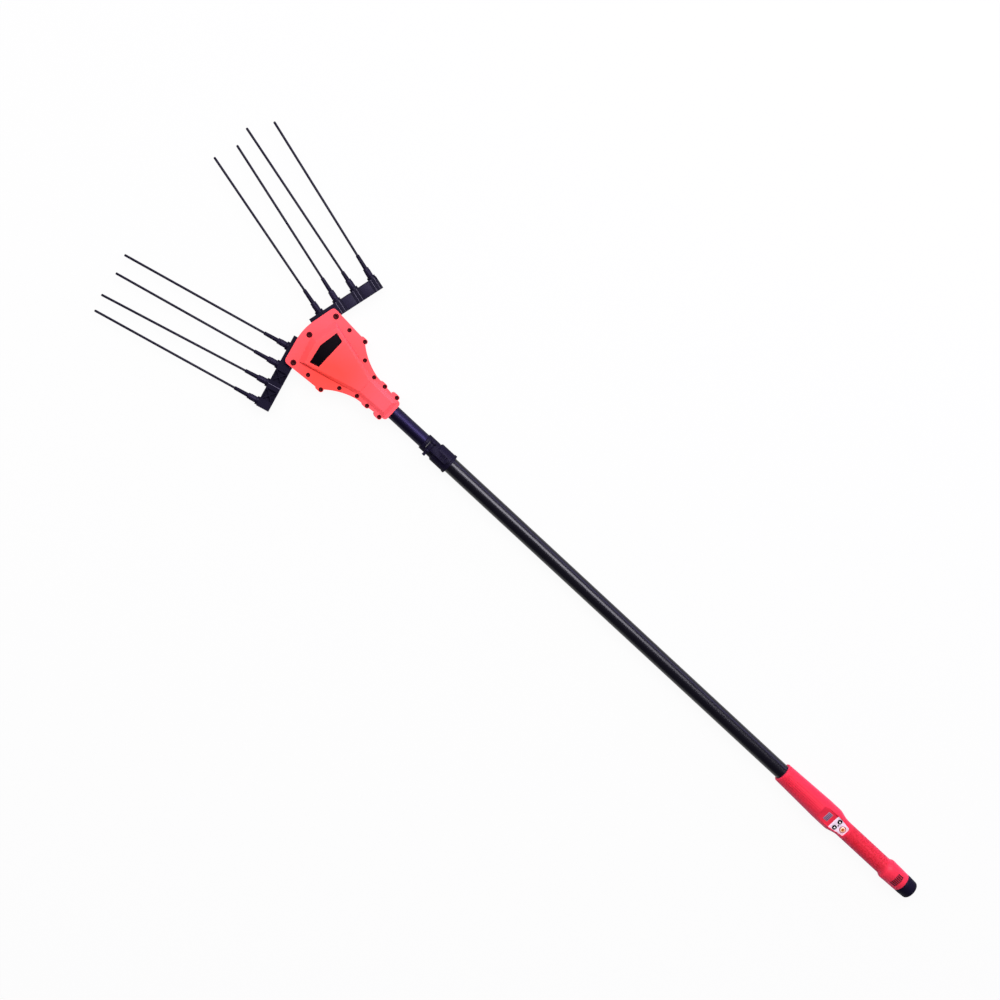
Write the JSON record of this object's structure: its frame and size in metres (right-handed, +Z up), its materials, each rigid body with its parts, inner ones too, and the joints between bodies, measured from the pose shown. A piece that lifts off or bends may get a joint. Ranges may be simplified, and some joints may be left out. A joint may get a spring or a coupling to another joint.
{
  "type": "electric olive harvester",
  "caption": "Battery olive harvester: a telescopic pole with a powered handle carries a drive head whose two tined combs swing together to shake fruit from branches.",
  "frame": {"origin": "under the middle of the whole tool, on the surface that it rests on", "axes": "+X along the pole towards the drive head and the tines, +Z up out of the head cover"},
  "size_m": [2.1754, 0.5308, 0.058],
  "materials": {
    "black_tube": "black anodised, satin",
    "black_plastic": "black, fine grain",
    "black_nut": "black, smooth",
    "black_rod": "black fibre rod, satin",
    "head_red": "coral red, satin",
    "handle_red": "crimson, satin",
    "dark_screw": "blackened",
    "bright_steel": "bright",
    "cast_alloy": "cast, bare",
    "bronze": "bronze, dull",
    "contact_brass": "bright",
    "badge_black": "black, plain",
    "panel_white": "pinkish white, smooth",
    "button_orange": "orange, smooth",
    "button_black": "black, soft",
    "lamp_red": "dark red, clear",
    "display_grey": "grey-blue, smooth",
    "board_green": "green laminate",
    "dark_plastic": "dark grey"
  },
  "bodies": {
    "pole": {"outer_tube": "black_tube", "clamp_body": "black_plastic", "clamp_pin": "dark_screw", "clamp_pad": "dark_plastic", "handle_top_shell": "handle_red", "handle_bottom_shell": "handle_red", "handle_screws": "bright_steel", "control_panel": "panel_white", "indicator_led": "lamp_red", "display_window": "display_grey", "control_board": "board_green", "button_switches": "dark_plastic", "end_cap": "black_plastic", "power_socket": "dark_plastic", "socket_contacts": "contact_brass"},
    "boom": {"inner_tube": "black_tube", "tube_guide_bush": "bronze", "head_cover": "head_red", "head_base": "head_red", "cover_screws": "dark_screw", "corner_screws": "dark_screw", "badge_plate": "badge_black", "left_pivot_pin": "bright_steel", "right_pivot_pin": "bright_steel", "gear_motor": "bright_steel", "gearbox": "cast_alloy", "gearbox_screws": "bright_steel", "output_bearing": "bright_steel"},
    "clamp_lever": {"clamp_lever": "black_plastic"},
    "left_comb": {"left_comb_bar": "black_plastic", "left_tine_nuts": "black_nut", "left_tine_sleeves": "black_plastic", "left_pivot_bush": "bronze", "left_rocker": "bright_steel", "left_rocker_screws": "bright_steel", "left_rod_pin": "bright_steel", "left_tine_1": "black_rod", "left_tine_2": "black_rod", "left_tine_3": "black_rod", "left_tine_4": "black_rod"},
    "right_comb": {"right_comb_bar": "black_plastic", "right_tine_nuts": "black_nut", "right_tine_sleeves": "black_plastic", "right_pivot_bush": "bronze", "right_rocker": "bright_steel", "right_rocker_screws": "bright_steel", "right_rod_pin": "bright_steel", "right_tine_1": "black_rod", "right_tine_2": "black_rod", "right_tine_3": "black_rod", "right_tine_4": "black_rod"},
    "left_rod": {"left_connecting_rod": "bright_steel"},
    "right_rod": {"right_connecting_rod": "bright_steel"},
    "crank": {"crank_disc": "bright_steel"},
    "power_button": {"power_button": "button_orange"},
    "faster_button": {"faster_button": "button_black"},
    "slower_button": {"slower_button": "button_black"}
  },
  "joints": [
    {"name": "boom_slide", "type": "slide", "parent": "pole", "child": "boom", "axis": [1, 0, 0], "range_m": [0, 0.75]},
    {"name": "clamp_lever_swing", "type": "hinge", "parent": "pole", "child": "clamp_lever", "pos_m": [0.37027, 0, 0.0515], "axis": [0, 1, 0], "range_deg": [0, 110]},
    {"name": "left_comb_swing", "type": "hinge", "parent": "boom", "child": "left_comb", "pos_m": [0.69307, 0.0642, 0.027], "axis": [0, 0, 1], "range_deg": [-14, 0]},
    {"name": "right_comb_swing", "type": "hinge", "parent": "boom", "child": "right_comb", "pos_m": [0.69307, -0.0642, 0.027], "axis": [0, 0, 1], "range_deg": [0, 14]},
    {"name": "left_rod_pivot", "type": "hinge", "parent": "left_comb", "child": "left_rod", "pos_m": [0.67121, 0.02371, 0.027], "axis": [0, 0, 1], "range_deg": [0, 20.6]},
    {"name": "right_rod_pivot", "type": "hinge", "parent": "right_comb", "child": "right_rod", "pos_m": [0.67121, -0.02371, 0.027], "axis": [0, 0, 1], "range_deg": [-20.6, 0]},
    {"name": "crank_spin", "type": "hinge", "parent": "boom", "child": "crank", "pos_m": [0.60777, 0, 0.027], "axis": [0, 0, 1], "continuous": true},
    {"name": "power_button_press", "type": "slide", "parent": "pole", "child": "power_button", "axis": [0.0584, -0.1734, -0.9831], "range_m": [0, 0.001], "stiffness_N_per_m": 600},
    {"name": "faster_button_press", "type": "slide", "parent": "pole", "child": "faster_button", "axis": [0.0584, -0.1734, -0.9831], "range_m": [0, 0.001], "stiffness_N_per_m": 600},
    {"name": "slower_button_press", "type": "slide", "parent": "pole", "child": "slower_button", "axis": [0.0584, -0.1734, -0.9831], "range_m": [0, 0.001], "stiffness_N_per_m": 600}
  ],
  "couplings": [
    {"joint": "right_comb_swing", "follows": "left_comb_swing", "ratio": -1},
    {"joint": "left_rod_pivot", "follows": "left_comb_swing", "ratio": -1.45},
    {"joint": "right_rod_pivot", "follows": "left_comb_swing", "ratio": 1.45}
  ]
}
